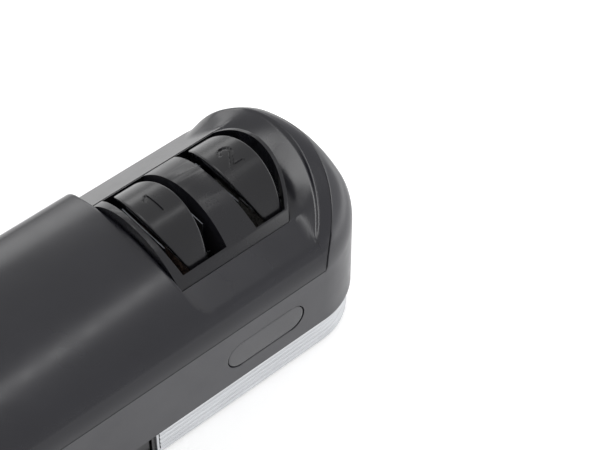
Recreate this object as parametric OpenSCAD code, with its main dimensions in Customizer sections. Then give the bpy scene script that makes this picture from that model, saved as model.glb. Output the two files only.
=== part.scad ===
// Electric knife sharpener, two-stage, with motor, wheels and rocker switch.
// Frame: X along the body, Y from the switch side (-Y) to the cord side (+Y), Z up.
// Origin: middle of the footprint, on the surface that the feet rest on.

/* [Body] */
// Length of the body
body_len = 254; // [248:1:262]
// Depth of the body
body_depth = 92; // [90:1:98]
// Height of the dome above the table
dome_h = 68.5; // [67:0.5:72]
// Radius of the dome across the body
dome_r = 97; // [85:1:115]
// Radius of the shoulder between dome and wall
shoulder_r = 15; // [12:0.5:18]
// Radius of the corners in plan
corner_r = 30; // [26:1:34]
// Radius of the bowed ends in plan
end_r = 120; // [100:5:160]
// Radius of the top edge at the ends
end_edge_r = 8; // [5:0.5:10]
// Wall of the covers
wall = 2.4; // [2:0.1:2.8]

/* [Seams] */
// Height of the seam between top cover and lower housing
seam_z = 46.5; // [44:0.5:47]
// Width of the seam
seam_gap = 0.4; // [0.3:0.05:0.5]
// Distance from the end of the body to the seam that crosses the dome
seam_end = 3; // [2:0.5:6]
// Radius of the crossing seam on the switch side
seam_front_r = 66; // [60:1:70]
// Radius of the crossing seam on the cord side
seam_back_r = 45; // [42:1:50]
// How far the crossing seam's tip lies behind the middle
seam_shift = 8; // [4:1:12]

/* [Base] */
// Height of the silver band
band_top = 16; // [15:0.5:16.5]
// Gap between the table and the band
band_lift = 1; // [0.8:0.1:1.5]
// How far the band stands back from the wall
band_inset = 1.5; // [1:0.1:2]
// Thickness of the band
band_t = 1; // [0.9:0.05:1.2]
// Number of grooves in the band
band_grooves = 5; // [3:1:6]
// Depth of a groove
groove_depth = 0.35; // [0.2:0.05:0.5]
// Width of a groove
groove_w = 0.7; // [0.5:0.1:1]
// Thickness of the base plate's floor
floor_t = 2.5; // [2:0.1:3]
// Height of the base plate's rim
rim_top = 20; // [19:0.5:22]
// Radius of a rubber foot
foot_r = 7; // [6:0.5:8]
// Distance of the feet from the ends of the body
foot_end = 39; // [38:0.5:42]
// Distance of the feet from the sides of the body
foot_side = 16; // [15:0.5:17]

/* [Sharpening head] */
// Distance from the recess's start to the end of the body
recess_end = 87.5; // [87:0.5:89]
// Height of the recess floor
recess_floor = 61.8; // [61:0.2:62]
// Radius of the rim round the recess
rim_r = 73.9; // [73:0.1:75]
// Depth of the step at the rim
rim_step = 0.8; // [0.6:0.1:1]
// Rise of the recess's wall per mm
wall_slope = 0.44; // [0.4:0.01:0.46]
// Half width of the recess floor
recess_half = 27.7; // [27.5:0.1:28.5]
// Fall of the recess's front panel per mm
front_slope = 0.263; // [0.2:0.01:0.3]
// Fall of the recess's back panel per mm
back_slope = 0.786; // [0.7:0.02:0.8]
// Height of the insert's arch
insert_top = 74.2; // [73:0.2:75]
// Radius of the insert's arch
insert_r = 36.6; // [35:0.5:38]
// Height of the guides
guide_top = 76.5; // [76:0.5:78]
// Radius of a guide's arch
guide_r = 28; // [27:0.5:30]
// Width of a guide at the top
guide_w = 17.6; // [16:0.2:18]
// Slant of the blade's face
blade_angle = 20; // [18:0.5:21]
// Length of a guide
guide_len = 49.4; // [48.4:0.2:49.8]
// Distance from the recess's start to the middle of the first guide
guide_start = 13; // [12.6:0.1:13.4]
// Distance from the first guide to the second
guide_pitch = 36.7; // [36:0.1:37]
// How far the guides' middle lies behind the shaft
guide_y = 1.1; // [0.8:0.1:1.2]
// Thickness of a blade spring
leaf_t = 0.5; // [0.4:0.05:0.6]
// Length of a blade spring
leaf_len = 26; // [20:1:28]
// Height of a blade spring
leaf_h = 11; // [8:0.5:12]

/* [Drive] */
// Height of the shaft above the table
axis_z = 38; // [37.5:0.5:38.5]
// Radius of the grinding wheels
wheel_r = 20; // [18:0.5:20]
// Width of a grinding wheel
wheel_w = 5.6; // [5:0.2:6]
// Radius of the wheel shaft
shaft_r = 4; // [3.5:0.1:4.5]
// Radius of the motor shaft
motor_shaft_r = 3; // [2.5:0.1:3.5]
// Running clearance of a shaft in its bush
run_gap = 0.05; // [0.03:0.01:0.08]

/* [Motor] */
// Distance from the end of the body to the stator
stator_end = 43; // [43:0.5:44]
// Length of the stator
stator_len = 32; // [28:1:34]
// Width of the stator
stator_w = 54; // [52:1:56]
// Height of the stator
stator_h = 44; // [43:1:46]
// Radius of the armature
armature_r = 15; // [14:0.5:15.5]
// Air gap round the armature
air_gap = 0.5; // [0.4:0.05:0.6]
// Radius of the commutator
commutator_r = 9; // [8:0.5:10]
// Radius of the cooling fan
fan_r = 21; // [18:0.5:22]
// Number of fan blades
fan_blades = 11; // [7:1:13]

/* [Switch and cord] */
// Width of the switch opening
switch_w = 23.3; // [22:0.1:24]
// Height of the top of the switch opening
switch_top = 15.4; // [15:0.1:15.6]
// Depth of the switch body
switch_depth = 12; // [10:0.5:14]
// Tilt of the rocker at rest
rocker_tilt = 8; // [6:0.5:9]
// Distance from the cord inlet to the end of the body
cord_end = 35; // [34:1:38]
// Height of the cord inlet
cord_z = 28; // [26:1:32]
// Radius of the cord that the inlet takes
cord_r = 3.4; // [3:0.1:3.6]

/* [Badge] */
// Distance from the badge's middle to the end of the body
badge_end = 61.7; // [58:0.5:65]
// Height of the badge's middle
badge_z = 30.8; // [29:0.5:33]
// Length of the badge
badge_len = 37.5; // [34:0.5:40]
// Height of the badge
badge_h = 12.8; // [11:0.2:14]
// Depth of the badge's pocket
badge_depth = 1.2; // [1:0.1:1.4]
// How far the badge lies below the wall's face
badge_sink = 0.15; // [0.1:0.05:0.4]

/* [Hidden] */
$fn = 96;

half_len = body_len / 2;
cord_x = -half_len + cord_end;
badge_x = half_len - badge_end;
half_depth = body_depth / 2;
small = 0.01;
seat_gap = 0.3;
fit_gap = 0.05;

// Body outline
shoulder_y = half_depth - shoulder_r;
dome_cz = dome_h - dome_r;
shoulder_z = dome_cz + sqrt((dome_r - shoulder_r) ^ 2 - shoulder_y ^ 2);
end_cx = half_len - end_r;
corner_y = half_depth - corner_r;
corner_x = end_cx + sqrt((end_r - corner_r) ^ 2 - corner_y ^ 2);
section_deep = 160;

// Base
floor_z = band_lift + 0.5;
floor_top = floor_z + floor_t;
foot_x = half_len - foot_end;
foot_y = half_depth - foot_side;
rim_inset = band_inset + band_t + seat_gap;
wall_start = band_top + seat_gap;

// Sharpening head
slant = tan(blade_angle);
insert_cz = insert_top - insert_r;
recess_x = half_len - recess_end;
recess_y = -half_depth + 4.4;
rim_x = recess_x + 6;
rim_y = 13.5;
// Share of the wall's rise at a distance from the middle
wall_share = [[-40, 2.2], [-37, 1.8], [-33, 0.9], [-30, 0.6], [-27, 0.5], [-22, 0.8], [-16, 1], [6, 1], [14, 0.8],
  [20, 0.6], [28, 0.35], [35, 0.6], [43, 1.1], [46, 1.2]];
guide_x = recess_x + guide_start;
insert_x = recess_x + 0.3;
insert_z0 = 56;
flange_t = 3;
ear_r = 3.2;
insert_boss_z = insert_z0 + flange_t + fit_gap;
ear_hole = 3.2;
insert_arc_x = recess_x + 14.5;
insert_arc_y = 6;
insert_arc_r = 51.2;
lip = 1.5;
well_half = guide_len / 2 + 0.6;
well_wall = 2.2;
ridge_w = 12.1;
ridge_slope = 0.13;
left_slope = 0.2;
ridge_x = guide_x + 13.5;
web_top = 60;
web_w = 5;
web_len = 4.6;
guide_z0 = web_top + fit_gap;
guide_cz = guide_top - guide_r;
wheel_xs = [guide_x, guide_x + guide_pitch];

// Screws
screw_r = 1.5;
screw_head_r = 3;
screw_head_t = 2;
screw_gap = 0.25;
post_x = half_len - 49.5;
post_y = half_depth - 9;
boss_hole = 5.7;
post_r = 4;
small_screw_r = 1.2;
small_head_t = 1.4;

// Drive line
flange_r = 9;
flange_w = 2;
bush_r = 8;
bush_w = 6;
left_bush_x = recess_x - 15.5;
right_bush_x = insert_arc_x + insert_arc_r - 0.2;
pedestal_w = 26;
pedestal_foot = 42;
shaft_x1 = right_bush_x + bush_w + 1;
coupling_len = 22;
coupling_r = 8;

// Motor
stator_x = -half_len + stator_end;
stator_x1 = stator_x + stator_len;
bore_r = armature_r + air_gap;
coil_r0 = bore_r + 0.7;
coil_t = 4.6;
coil_over = 7;
rear_x = stator_x - 28;
front_x = stator_x1 + 18;
motor_x0 = rear_x - 3;
motor_x1 = front_x + 16;
shaft_x0 = motor_x1 + 3;
coupling_x0 = front_x + 8;
coupling_x1 = coupling_x0 + coupling_len;
bracket_t = 3;
motor_bush_r = 6;
motor_bush_w = 6;
bolt_y = 22;
bolt_z = 16;
bolt_r = 1.8;
leg_boss = 0.4;
fan_x = stator_x1 + 8;
fan_w = 7;
commutator_x = stator_x - 17;
commutator_w = 9;
brush_w = 5;
brush_y0 = commutator_r + 0.3;
brush_len = 9;
holder_len = 16;
holder_wall = 0.8;

// Shapes

// Cylinder along X from x0 to x1 on the shaft's axis
module bar_x(x0, x1, r, y = 0, z = axis_z) {
  translate([x0, y, z]) rotate([0, 90, 0]) cylinder(h = x1 - x0, r = r);
}

module tube_x(x0, x1, ro, ri, y = 0, z = axis_z) {
  difference() {
    bar_x(x0, x1, ro, y, z);
    bar_x(x0 - 1, x1 + 1, ri, y, z);
  }
}

module bar_z(x, y, z0, z1, r) {
  translate([x, y, z0]) cylinder(h = z1 - z0, r = r);
}

module box(x0, x1, y0, y1, z0, z1) {
  translate([x0, y0, z0]) cube([x1 - x0, y1 - y0, z1 - z0]);
}

// A screw that points up: head at z0, tip at z0 + len
module screw_up(x, y, z0, len, r = screw_r, head_r = screw_head_r, head_t = screw_head_t) {
  difference() {
    union() {
      bar_z(x, y, z0, z0 + head_t, head_r);
      bar_z(x, y, z0, z0 + len, r);
    }
    translate([x - head_r * 0.6, y - 0.4, z0 - 1]) cube([head_r * 1.2, 0.8, 1 + head_t * 0.5]);
  }
}

// Points of an arc round (cx, cy) from angle a0 to a1 in n steps, without its first point if skip is 1
function arc(cx, cy, r, a0, a1, n, skip = 0) =
  [for (i = [skip : n]) [cx + r * cos(a0 + (a1 - a0) * i / n), cy + r * sin(a0 + (a1 - a0) * i / n)]];

// Outline across the body, drawn in (Y, Z), d inside the skin
module section(d) {
  a = atan2(shoulder_z - dome_cz, shoulder_y);
  polygon(concat([[half_depth - d, -1]],
    arc(shoulder_y, shoulder_z, shoulder_r - d, 0, a, 8),
    arc(0, dome_cz, dome_r - d, a, 180 - a, 28, 1),
    arc(-shoulder_y, shoulder_z, shoulder_r - d, 180 - a, 180, 8, 1),
    [[-half_depth + d, -1]]));
}

// Outline in plan, d inside the skin
module plan(d) {
  a = atan2(corner_y, corner_x - end_cx);
  polygon(concat(
    arc(corner_x, -corner_y, corner_r - d, -90, -a, 14),
    arc(end_cx, 0, end_r - d, -a, a, 14, 1),
    arc(corner_x, corner_y, corner_r - d, a, 90, 14, 1),
    arc(-corner_x, corner_y, corner_r - d, 90, 180 - a, 14),
    arc(-end_cx, 0, end_r - d, 180 - a, 180 + a, 14, 1),
    arc(-corner_x, -corner_y, corner_r - d, 180 + a, 270, 14, 1)));
}

// Outline along the body, drawn in (X, Z), with the round top edge at each end
module profile(d) {
  x = half_len - end_edge_r;
  z = dome_h - end_edge_r;
  polygon(concat([[half_len - d, -1]],
    arc(x, z, end_edge_r - d, 0, 90, 8),
    arc(-x, z, end_edge_r - d, 90, 180, 8),
    [[-half_len + d, -1]]));
}

module body_form(d) {
  intersection() {
    rotate([90, 0, 90]) linear_extrude(section_deep * 2, center = true) section(d);
    translate([0, 0, -1]) linear_extrude(section_deep) plan(d);
    rotate([90, 0, 0]) linear_extrude(section_deep, center = true) profile(d);
  }
}

// Plan region inside the crossing seams, g wider all round
module seam_region(g) {
  tip = half_len - seam_end;
  front_x = tip - seam_front_r;
  back_x = tip - seam_back_r;
  far = body_depth;
  right = concat([[front_x, -far]],
    arc(front_x, seam_shift, seam_front_r + g, -90, 0, 24),
    arc(back_x, seam_shift, seam_back_r + g, 0, 90, 24, 1),
    [[back_x, far]]);
  left = [for (i = [len(right) - 1 : -1 : 0]) [-right[i].x, right[i].y]];
  polygon(concat(right, left));
}

// Everything above the seam and inside the crossing seams
module cover_zone(g) {
  translate([0, 0, seam_z - g]) linear_extrude(section_deep) seam_region(g);
}

// Height of the body's top at a distance from its middle
function top_z(y) = abs(y) > shoulder_y * dome_r / (dome_r - shoulder_r)
  ? shoulder_z + sqrt(max(shoulder_r ^ 2 - (abs(y) - shoulder_y) ^ 2, 0))
  : dome_cz + sqrt(dome_r ^ 2 - y ^ 2);

// Bottom of the recess's wall, rho from the rim's centre in direction a
function wall_z(rho, a, g) = wall_at(rho, min(max(rim_y + rho * sin(a), -half_depth), half_depth)) - g;
function wall_at(rho, y) = top_z(y) - (rho > rim_r ? -2
  : rim_step * min(1, (rim_r - rho) / rim_step) + wall_slope * lookup(y, wall_share) * (rim_r - rho));

// Space above the wall that rises from the guides to the rim, g larger on every side
module rim_space(g) {
  rhos = [rim_r - 28, rim_r - 14, rim_r - rim_step, rim_r, rim_r + 4];
  angles = [for (a = [-75 : 3 : 75]) a, 90, 120, 150, 180, 210, 240, 270];
  n = len(angles);
  rings = len(rhos);
  top = 2 * dome_h;
  function at(rho, a, z) = [rim_x + (rho + g) * cos(a), rim_y + (rho + g) * sin(a), z];
  points = concat([[rim_x, rim_y, shoulder_z - g], [rim_x, rim_y, top]],
    [for (rho = rhos) for (a = angles) at(rho, a, wall_z(rho, a, g))],
    [for (a = angles) at(rim_r + 4, a, top)]);
  function id(i, k) = 2 + i * n + k % n;
  faces = concat([for (k = [0 : n - 1]) [0, id(0, k), id(0, k + 1)]],
    [for (i = [0 : rings - 1]) for (k = [0 : n - 1]) [id(i, k), id(i + 1, k), id(i + 1, k + 1)]],
    [for (i = [0 : rings - 1]) for (k = [0 : n - 1]) [id(i, k), id(i + 1, k + 1), id(i, k + 1)]],
    [for (k = [0 : n - 1]) [1, id(rings, k + 1), id(rings, k)]]);
  polyhedron(points, faces);
}

// Space right of the recess's start and behind its front edge, g larger on every side
module recess_front(g) {
  corner = 8;
  x = recess_x - g;
  y = recess_y - g;
  linear_extrude(2 * body_depth) {
    polygon([[x + corner, y], [body_len, y], [body_len, body_depth], [x, body_depth], [x, y + corner],
      [x + corner, y + corner]]);
    translate([x + corner, y + corner]) circle(r = corner);
  }
}

// Space above the recess's three floors: front panel, middle and back panel
module recess_space(g) {
  far = body_depth;
  rotate([90, 0, 90]) linear_extrude(section_deep) polygon([
    [-recess_half, recess_floor - g], [recess_half, recess_floor - g],
    [recess_half + far, recess_floor - g * 1.3 - back_slope * far],
    [recess_half + far, 2 * far], [-recess_half - far, 2 * far],
    [-recess_half - far, recess_floor - g - front_slope * far]]);
}

// The recess round the guides
module recess(g) {
  intersection() {
    recess_front(g);
    recess_space(g);
    rim_space(g);
  }
}

// Plan outline of the insert, g larger
module insert_plan(g) {
  intersection() {
    translate([insert_x - g, -recess_half - g]) square([body_depth, 2 * (recess_half + g)]);
    translate([insert_arc_x, insert_arc_y]) circle(r = insert_arc_r + g, $fn = 180);
  }
}

// Well that holds guide number i (0 or 1)
module well(i) {
  z1 = insert_top;
  z0 = insert_z0 - 1;
  drop = z1 - z0;
  left = i == 0 ? insert_x + well_wall : ridge_x + ridge_w;
  left_in = i == 0 ? left_slope : ridge_slope;
  right = i == 0 ? ridge_x : body_len;
  right_in = i == 0 ? ridge_slope : 0;
  up = 10;
  intersection() {
    translate([0, guide_y, 0]) rotate([90, 0, 0]) linear_extrude(2 * well_half, center = true)
      polygon([[left - left_in * up, z1 + up], [left + left_in * drop, z0],
        [right - right_in * drop, z0], [right + right_in * up, z1 + up]]);
    translate([insert_arc_x, insert_arc_y, z0 - 1]) cylinder(r = insert_arc_r - lip, h = 60, $fn = 180);
  }
}

module arch(r, cz, y = 0) {
  bar_x(0, body_len, r, y, cz);
}

// Outer shell pieces

module top_cover() color([0.24, 0.24, 0.27]) {
  boss_floor = seam_z + seam_gap;
  difference() {
    union() {
      difference() {
        intersection() {
          body_form(0);
          cover_zone(-seam_gap / 2);
        }
        difference() {
          body_form(wall);
          recess(wall);
        }
      }
      for (s = [-1, 1], t = [-1, 1]) intersection() {
        bar_z(s * post_x, t * post_y, boss_floor, dome_h, post_r);
        body_form(wall / 2);
      }
      for (p = insert_ears) intersection() {
        bar_z(p.x, p.y, insert_boss_z, dome_h, ear_r);
        body_form(wall / 2);
      }
    }
    recess(0);
    translate([0, 0, insert_z0]) linear_extrude(body_depth) insert_plan(seat_gap);
    for (s = [-1, 1], t = [-1, 1]) bar_z(s * post_x, t * post_y, boss_floor - 1, seam_z + boss_hole, screw_r + fit_gap);
    for (p = insert_ears) bar_z(p.x, p.y, insert_z0, insert_boss_z + ear_hole, small_screw_r + fit_gap);
  }
}

module lower_housing() color([0.25, 0.25, 0.27]) {
  difference() {
    union() {
      difference() {
        body_form(0);
        body_form(wall);
      }
      for (s = [-1, 1], t = [-1, 1]) intersection() {
        bar_z(s * post_x, t * post_y, rim_top + 1, seam_z - seam_gap / 2, post_r);
        body_form(wall / 2);
      }
      for (s = [-1, 1], t = [-1, 1]) intersection() {
        box(s * post_x - 1, s * post_x + 1, min(t * post_y, t * half_depth), max(t * post_y, t * half_depth),
          rim_top + 1, seam_z - seam_gap / 2);
        body_form(wall / 2);
      }
    }
    cover_zone(seam_gap / 2);
    translate([0, 0, -5]) cube([body_len * 2, body_depth * 2, 2 * (wall_start + 5)], center = true);
    badge_shape(0.15, badge_depth);
    for (s = [-1, 1], t = [-1, 1]) bar_z(s * post_x, t * post_y, 0, dome_h, screw_r + screw_gap);
    translate([cord_x, half_depth + 1, cord_z]) rotate([90, 0, 0]) cylinder(h = wall + 6, r = cord_r + 2.2);
  }
}

module base_plate() color([0.16, 0.16, 0.17]) {
  vent_n = 7;
  vent_pitch = 5;
  difference() {
    union() {
      translate([0, 0, floor_z]) linear_extrude(floor_t) plan(rim_inset);
      difference() {
        translate([0, 0, floor_z]) linear_extrude(rim_top - floor_z) plan(rim_inset);
        translate([0, 0, floor_z - 1]) linear_extrude(rim_top) plan(rim_inset + wall);
      }
      for (s = [-1, 1], t = [-1, 1]) bar_z(s * post_x, t * post_y, floor_z, rim_top + 0.7, post_r);
      for (x = [stator_x + 6, stator_x1 - 6])
        box(x - 2, x + 2, -stator_w / 2 + 4, stator_w / 2 - 4, floor_top - small, axis_z - stator_h / 2 - fit_gap);
      for (x = strap_xs, t = [-1, 1]) bar_z(x, t * strap_y, floor_z, floor_top + 4, 3.6);
      for (x = pedestal_xs, t = [-1, 1]) bar_z(x, t * pedestal_screw_y, floor_z, floor_top + 3, 3.6);
      for (t = [-1, 1]) bar_z(clamp_x + t * clamp_half, clamp_y, floor_z, clamp_z, 3);
      box(clamp_x - clamp_half, clamp_x + clamp_half, clamp_y - 2, clamp_y + 2, floor_z, clamp_z);
    }
    for (s = [-1, 1], t = [-1, 1]) {
      bar_z(s * post_x, t * post_y, 0, rim_top + 2, screw_r + screw_gap);
      bar_z(s * post_x, t * post_y, 0, head_seat, screw_head_r + screw_gap);
      translate([s * foot_x, t * foot_y, floor_z - 1]) cylinder(h = 2, r = foot_r - 1 + fit_gap);
    }
    for (x = strap_xs, t = [-1, 1]) bar_z(x, t * strap_y, floor_top, floor_top + 5, screw_r + fit_gap);
    for (x = pedestal_xs, t = [-1, 1]) bar_z(x, t * pedestal_screw_y, floor_top, floor_top + 5, screw_r + fit_gap);
    for (t = [-1, 1]) bar_z(clamp_x + t * clamp_half, clamp_y, clamp_z - 8, clamp_z + 1, small_screw_r + fit_gap);
    for (i = [0 : vent_n - 1]) box(stator_x - 12 + i * vent_pitch - 1, stator_x - 12 + i * vent_pitch + 1, -14, 14, 0, floor_top + 1);
    switch_cut(switch_w / 2 + 1.2, switch_top + 1.6);
  }
}

module trim_band() color([0.86, 0.87, 0.88]) {
  step = (band_top - band_lift) / (band_grooves + 1);
  difference() {
    translate([0, 0, band_lift]) linear_extrude(band_top - band_lift) plan(band_inset);
    translate([0, 0, band_lift - 1]) linear_extrude(band_top) plan(band_inset + band_t);
    for (i = [1 : band_grooves]) difference() {
      translate([0, 0, band_lift + i * step - groove_w / 2]) linear_extrude(groove_w) square([body_len + 20, body_depth + 20], center = true);
      translate([0, 0, 0]) linear_extrude(band_top) plan(band_inset + groove_depth);
    }
    switch_cut(switch_w / 2 + 1.2 + seat_gap, switch_top + 0.4);
  }
}

// Badge outline, g larger, from depth inside the wall outward
module badge_shape(g, depth) {
  r = badge_h / 2 + g;
  run = badge_len / 2 - badge_h / 2;
  translate([badge_x, -half_depth + depth, badge_z]) rotate([90, 0, 0]) {
    for (s = [-1, 1]) translate([s * run, 0, 0]) cylinder(h = depth + 1, r = r);
    translate([-run, -r, 0]) cube([2 * run, 2 * r, depth + 1]);
  }
}

module badge_plate() color([0.3, 0.3, 0.31]) {
  intersection() {
    badge_shape(-fit_gap, badge_depth - fit_gap);
    box(0, body_len, -half_depth + badge_sink, 0, 0, dome_h);
  }
}

module rubber_feet() color([0.08, 0.08, 0.08]) {
  for (s = [-1, 1], t = [-1, 1]) {
    bar_z(s * foot_x, t * foot_y, 0, floor_z - fit_gap, foot_r);
    bar_z(s * foot_x, t * foot_y, 0, floor_z + 0.9, foot_r - 1);
  }
}

head_seat = floor_top + 8;

module housing_screws() color([0.7, 0.7, 0.72]) {
  for (s = [-1, 1], t = [-1, 1])
    screw_up(s * post_x, t * post_y, head_seat - screw_head_t - fit_gap, seam_z + boss_hole - 0.4 - head_seat + screw_head_t);
}

// Sharpening head

// Ears of the insert's flange, each under a boss of the cover
insert_ears = [[insert_x - 4, -20], [insert_x - 4, 20], [insert_arc_x + insert_arc_r + 6.8, -6],
  [insert_arc_x + insert_arc_r + 6.8, 18]];

module guide_insert() color([0.22, 0.22, 0.24]) {
  difference() {
    union() {
      intersection() {
        translate([0, 0, insert_z0]) linear_extrude(body_depth) insert_plan(0);
        arch(insert_r, insert_cz);
      }
      difference() {
        union() {
          translate([0, 0, insert_z0]) linear_extrude(flange_t) insert_plan(2);
          for (p = insert_ears) bar_z(p.x, p.y, insert_z0, insert_z0 + flange_t, ear_r);
          for (p = insert_ears) box(min(p.x, insert_arc_x), max(p.x, insert_arc_x), p.y - 2, p.y + 2, insert_z0, insert_z0 + flange_t);
        }
        difference() {
          recess_space(wall + seat_gap);
          linear_extrude(body_depth) insert_plan(-0.5);
        }
      }
    }
    well(0);
    well(1);
    intersection() {
      translate([ridge_x + well_wall, guide_y - well_half, insert_z0 - 1])
        cube([ridge_w - 2 * well_wall, 2 * well_half, insert_top]);
      arch(insert_r - well_wall, insert_cz);
    }
    for (p = insert_ears) bar_z(p.x, p.y, insert_z0 - 1, insert_z0 + flange_t + 1, small_screw_r + screw_gap);
  }
  for (i = [0 : 3]) leaf_ledge(i);
  difference() {
    for (x = wheel_xs, t = [-1, 1])
      box(x - web_w / 2, x + web_w / 2, guide_y + t * (well_half - web_len / 2) - web_len / 2,
        guide_y + t * (well_half - web_len / 2) + web_len / 2 + small, insert_z0, web_top);
    for (x = wheel_xs, t = [-1, 1]) bar_z(x, guide_screw_y(t), insert_z0 - 1, web_top + 1, 1.1 + screw_gap);
  }
}

function guide_screw_y(t) = guide_y + t * (guide_len / 2 - 2.2);

// Wedge with an arched top; the digit is sunk in its top
module guide(x) {
  half = guide_w / 2;
  low = half - slant * (guide_top - guide_z0);
  difference() {
    intersection() {
      translate([x, guide_y, 0]) rotate([90, 0, 0]) linear_extrude(guide_len, center = true)
        polygon([[-half, guide_top], [-low, guide_z0], [low, guide_z0], [half, guide_top]]);
      arch(guide_r, guide_cz, guide_y);
    }
    for (t = [-1, 1]) bar_z(x, guide_screw_y(t), guide_z0 - 1, guide_z0 + 3.2, 1.1 + fit_gap);
    difference() {
      translate([x, guide_y + digit_y, guide_cz]) linear_extrude(guide_r + 1) children();
      bar_x(x - half - 1, x + half + 1, guide_r - 0.5, guide_y, guide_cz);
    }
  }
}

digit_h = 11;
digit_y = 2;
stroke = 1.3;

module digit_1() {
  translate([-stroke / 2, -digit_h / 2]) square([stroke, digit_h]);
  polygon([[-stroke / 2, digit_h / 2], [-2.6, digit_h / 2 - 2.4], [-2.6, digit_h / 2 - 3.6], [-stroke / 2, digit_h / 2 - 1.4]]);
}

module digit_2() {
  r = 2.7;
  cy = digit_h / 2 - r;
  difference() {
    translate([0, cy]) circle(r = r, $fn = 48);
    translate([0, cy]) circle(r = r - stroke, $fn = 48);
    translate([-2 * r, cy - 2 * r]) square([2 * r, 2 * r + 0.3]);
    translate([-r, cy - 2 * r]) square([2 * r, r]);
  }
  polygon([[r - stroke * 0.6, cy - 1.2], [r - stroke * 1.9, cy - 0.6], [-r, -digit_h / 2 + stroke], [-r + 1.9, -digit_h / 2 + stroke]]);
  translate([-r, -digit_h / 2]) square([2 * r, stroke]);
}

module guide_1() color([0.21, 0.21, 0.23]) guide(wheel_xs[0]) digit_1();

module guide_2() color([0.21, 0.21, 0.23]) guide(wheel_xs[1]) digit_2();

// Blade spring: a leaf whose lower edge sits on a ledge; lean turns it toward the guide
leaf_z0 = insert_z0 + 1.6;
leaf_lean = [lean_of(left_slope), -lean_of(ridge_slope), lean_of(ridge_slope), 0];
leaf_rest = 4;
leaf_room = 0.9;
function lean_of(s) = atan(s);
function wall_left(x, s) = x + s * (insert_top - leaf_z0);
leaf_x = [wall_left(insert_x + well_wall, left_slope) + leaf_room, wall_left(ridge_x, -ridge_slope) - leaf_room,
  wall_left(ridge_x + ridge_w, ridge_slope) + leaf_room, insert_arc_x + insert_arc_r - lip - 5];

module leaf(i) {
  side = i % 2 == 0 ? 1 : -1;
  tilt = -leaf_lean[i] + side * leaf_rest;
  translate([leaf_x[i], guide_y, leaf_z0]) rotate([0, tilt, 0]) {
    translate([side > 0 ? 0 : -leaf_t, -leaf_len / 2, 0]) cube([leaf_t, leaf_len, leaf_h]);
    translate([0, leaf_len / 2, 0]) rotate([90, 0, 0]) cylinder(h = leaf_len, r = leaf_t);
  }
}

// Ledge of the insert under leaf i
module leaf_ledge(i) {
  side = i % 2 == 0 ? 1 : -1;
  inner = leaf_x[i] + side * 0.9;
  outer = leaf_x[i] - side * 6;
  intersection() {
    box(min(inner, outer), max(inner, outer), guide_y - leaf_len / 2, guide_y + leaf_len / 2, insert_z0, leaf_z0 - leaf_t - seat_gap);
    linear_extrude(body_depth) insert_plan(-0.6);
  }
}

module blade_spring_1() color([0.75, 0.76, 0.78]) leaf(0);
module blade_spring_2() color([0.75, 0.76, 0.78]) leaf(1);
module blade_spring_3() color([0.75, 0.76, 0.78]) leaf(2);
module blade_spring_4() color([0.75, 0.76, 0.78]) leaf(3);

module guide_screws() color([0.7, 0.7, 0.72]) {
  for (x = wheel_xs, t = [-1, 1])
    screw_up(x, guide_screw_y(t), insert_z0 - 1.4 - fit_gap, web_top - insert_z0 + 4.2, r = 1.1, head_r = 2, head_t = 1.4);
}

module insert_screws() color([0.7, 0.7, 0.72]) {
  for (p = insert_ears)
    screw_up(p.x, p.y, insert_z0 - small_head_t - fit_gap, insert_boss_z + ear_hole - insert_z0 + 1, small_screw_r, 2.4, small_head_t);
}

// Wheel line

pedestal_xs = [left_bush_x + bush_w / 2, right_bush_x + bush_w / 2];
pedestal_screw_y = pedestal_foot / 2 - 4;

module wheel_shaft() color([0.72, 0.73, 0.75]) {
  bar_x(shaft_x0, left_bush_x + bush_w + 4, shaft_r);
  bar_x(left_bush_x + bush_w + seat_gap, wheel_xs[0] - wheel_w / 2 - flange_w - fit_gap, shaft_r + 2);
  bar_x(left_bush_x + bush_w, shaft_x1, shaft_r);
}

module wheel(x) {
  edge = 1.4;
  difference() {
    union() {
      bar_x(x - wheel_w / 2 + edge, x + wheel_w / 2 - edge, wheel_r);
      for (s = [0, 1]) translate([x, 0, axis_z]) mirror([s, 0, 0]) rotate([0, 90, 0])
        translate([0, 0, wheel_w / 2 - edge - small]) cylinder(h = edge, r1 = wheel_r, r2 = wheel_r - edge / slant);
    }
    bar_x(x - wheel_w, x + wheel_w, shaft_r + fit_gap);
  }
}

module coarse_wheel() color([0.55, 0.36, 0.25]) wheel(wheel_xs[0]);

module fine_wheel() color([0.78, 0.76, 0.72]) wheel(wheel_xs[1]);

module wheel_flanges() color([0.7, 0.7, 0.72]) {
  for (x = wheel_xs, s = [-1, 1])
    tube_x(x + s * (wheel_w / 2 + flange_w / 2) - flange_w / 2 + s * fit_gap / 2,
      x + s * (wheel_w / 2 + flange_w / 2) + flange_w / 2 + s * fit_gap / 2, flange_r, shaft_r + fit_gap);
}

module wheel_spacer() color([0.7, 0.7, 0.72]) {
  over = wheel_w / 2 + flange_w + 2 * fit_gap;
  tube_x(wheel_xs[0] + over, wheel_xs[1] - over, shaft_r + 2, shaft_r + fit_gap);
}

module wheel_nut() color([0.7, 0.7, 0.72]) {
  x0 = wheel_xs[1] + wheel_w / 2 + flange_w + 2 * fit_gap;
  difference() {
    translate([x0, 0, axis_z]) rotate([0, 90, 0]) cylinder(h = 5, r = 7.5, $fn = 6);
    bar_x(x0 - 1, x0 + 6, shaft_r + fit_gap);
  }
}

module wheel_bushes() color([0.72, 0.55, 0.3]) {
  for (x = [left_bush_x, right_bush_x]) tube_x(x, x + bush_w, bush_r, shaft_r + run_gap);
}

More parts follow.
